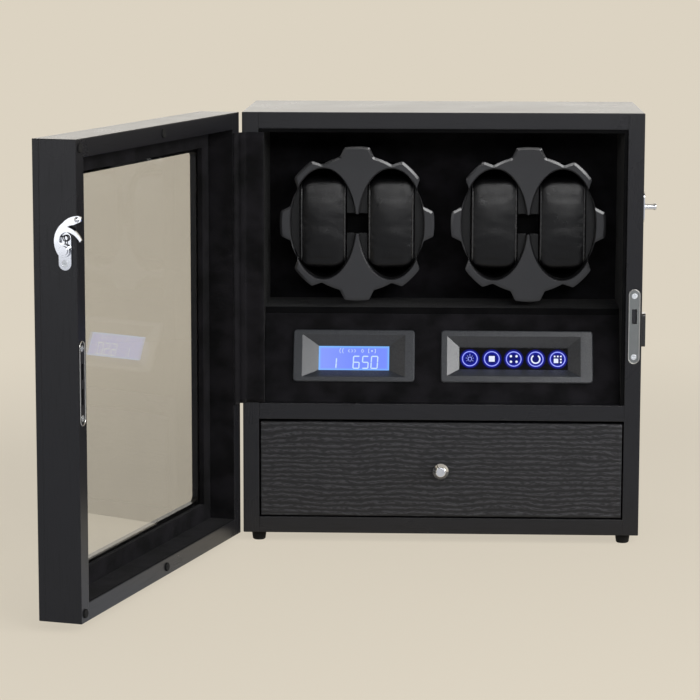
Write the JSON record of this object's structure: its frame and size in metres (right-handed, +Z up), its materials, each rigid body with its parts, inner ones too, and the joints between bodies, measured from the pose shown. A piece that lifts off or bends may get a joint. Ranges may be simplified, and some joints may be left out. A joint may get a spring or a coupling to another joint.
{
  "type": "watch winder box",
  "caption": "Black lacquered watch winder cabinet with a glazed side-hinged door, toothed rotors holding cuff pillows, a lit slanted control console and a veneered drawer.",
  "frame": {"origin": "middle of the four feet, on the plane that the box stands on", "axes": "+X to the right of someone who faces the box, +Y from the front to the back, +Z up"},
  "size_m": [0.4526, 0.4714, 0.349],
  "materials": {
    "lacquer": "satin black lacquer on board",
    "backboard": "matt black hardboard",
    "rubber": "matt black rubber",
    "belt_rubber": "smooth black rubber",
    "velvet": "black velvet",
    "bezel_plastic": "satin dark grey moulding",
    "display": "blue lit display",
    "touch_glass": "black glass with lit rings",
    "circuit_board": "green circuit board",
    "inlet_plastic": "black plastic",
    "brass": "turned",
    "motor_steel": "plated steel",
    "rotor_plastic": "satin charcoal moulding",
    "drive_steel": "plain steel",
    "pillow_leather": "black grained leather",
    "nickel": "satin nickel",
    "black_metal": "black enamel",
    "chrome": "polished",
    "drawer_veneer": "black open grain veneer",
    "drawer_wood": "black stained board",
    "glass": "clear"
  },
  "bodies": {
    "cabinet": {"cabinet_left_wall": "lacquer", "cabinet_right_wall": "lacquer", "cabinet_top": "lacquer", "cabinet_bottom": "lacquer", "divider_board": "lacquer", "rear_cover": "backboard", "feet": "rubber", "drive_belts": "belt_rubber", "side_linings": "velvet", "ceiling_lining": "velvet", "inner_back_panel": "velvet", "console_panel": "velvet", "console_shelf": "velvet", "hinge_cover_cabinet": "velvet", "display_bezel": "bezel_plastic", "touch_bezel": "bezel_plastic", "display_module": "display", "touch_panel": "touch_glass", "control_board": "circuit_board", "power_inlet": "inlet_plastic", "rotor_bushings": "brass", "drive_motors": "motor_steel", "hinge_leaves_cabinet": "drive_steel", "hinge_pins": "drive_steel", "lock_case": "drive_steel", "lock_faceplate": "nickel", "cabinet_fitting_screws": "nickel", "key_escutcheon": "black_metal", "clasp_stud": "chrome"},
    "door": {"door_stiles": "lacquer", "door_rails": "lacquer", "door_face_frame": "lacquer", "door_glass": "glass", "glass_beads": "velvet", "door_bumpers": "rubber", "hinge_leaves_door": "drive_steel", "hinge_cover_door": "velvet", "strike_plate": "nickel", "door_fitting_screws": "nickel", "clasp_plate": "chrome"},
    "clasp": {"clasp_hook": "chrome"},
    "drawer": {"drawer_front": "drawer_veneer", "drawer_sides": "drawer_wood", "drawer_floor": "drawer_wood", "drawer_liner": "velvet", "drawer_knob": "chrome"},
    "bolt": {"lock_bolt": "drive_steel"},
    "plug": {"lock_plug": "drive_steel"},
    "winder_left": {"rotor_left": "rotor_plastic", "rotor_cradle_left": "rotor_plastic", "rotor_drive_left": "drive_steel"},
    "motor_left": {"motor_drive_left": "drive_steel"},
    "cushion_left_a": {"pillow_left_a": "pillow_leather"},
    "cushion_left_b": {"pillow_left_b": "pillow_leather"},
    "winder_right": {"rotor_right": "rotor_plastic", "rotor_cradle_right": "rotor_plastic", "rotor_drive_right": "drive_steel"},
    "motor_right": {"motor_drive_right": "drive_steel"},
    "cushion_right_a": {"pillow_right_a": "pillow_leather"},
    "cushion_right_b": {"pillow_right_b": "pillow_leather"}
  },
  "joints": [
    {"name": "door_hinge", "type": "hinge", "parent": "cabinet", "child": "door", "pos_m": [-0.161, -0.0785, 0.008], "axis": [0, 0, -1], "range_deg": [-106, 14]},
    {"name": "clasp_turn", "type": "hinge", "parent": "door", "child": "clasp", "pos_m": [-0.25898, -0.38611, 0.2724], "axis": [-0.2756, -0.9613, 0], "range_deg": [-48, 40]},
    {"name": "drawer_slide", "type": "slide", "parent": "cabinet", "child": "drawer", "axis": [0, -1, 0], "range_m": [0, 0.115]},
    {"name": "rotor_left_spin", "type": "hinge", "parent": "cabinet", "child": "winder_left", "pos_m": [-0.0697, 0.0225, 0.2557], "axis": [0, -1, 0], "continuous": true},
    {"name": "motor_left_spin", "type": "hinge", "parent": "cabinet", "child": "motor_left", "pos_m": [-0.0697, 0.062, 0.2037], "axis": [0, -1, 0], "continuous": true},
    {"name": "pillow_left_a_out", "type": "slide", "parent": "winder_left", "child": "cushion_left_a", "axis": [0, -1, 0], "range_m": [0, 0.055]},
    {"name": "pillow_left_b_out", "type": "slide", "parent": "winder_left", "child": "cushion_left_b", "axis": [0, -1, 0], "range_m": [0, 0.055]},
    {"name": "rotor_right_spin", "type": "hinge", "parent": "cabinet", "child": "winder_right", "pos_m": [0.0697, 0.0225, 0.2557], "axis": [0, -1, 0], "continuous": true},
    {"name": "motor_right_spin", "type": "hinge", "parent": "cabinet", "child": "motor_right", "pos_m": [0.0697, 0.062, 0.2037], "axis": [0, -1, 0], "continuous": true},
    {"name": "pillow_right_a_out", "type": "slide", "parent": "winder_right", "child": "cushion_right_a", "axis": [0, -1, 0], "range_m": [0, 0.055]},
    {"name": "pillow_right_b_out", "type": "slide", "parent": "winder_right", "child": "cushion_right_b", "axis": [0, -1, 0], "range_m": [0, 0.055]},
    {"name": "key_turn", "type": "hinge", "parent": "cabinet", "child": "plug", "pos_m": [0.16, -0.0635, 0.1747], "axis": [1, 0, 0], "range_deg": [0, 90]},
    {"name": "bolt_slide", "type": "slide", "parent": "cabinet", "child": "bolt", "axis": [0, -1, 0], "range_m": [0, 0.0105]}
  ],
  "couplings": [
    {"joint": "motor_left_spin", "follows": "rotor_left_spin", "ratio": 2.831},
    {"joint": "motor_right_spin", "follows": "rotor_right_spin", "ratio": 2.831},
    {"joint": "key_turn", "follows": "bolt_slide", "rad_per_m": 149.5}
  ]
}
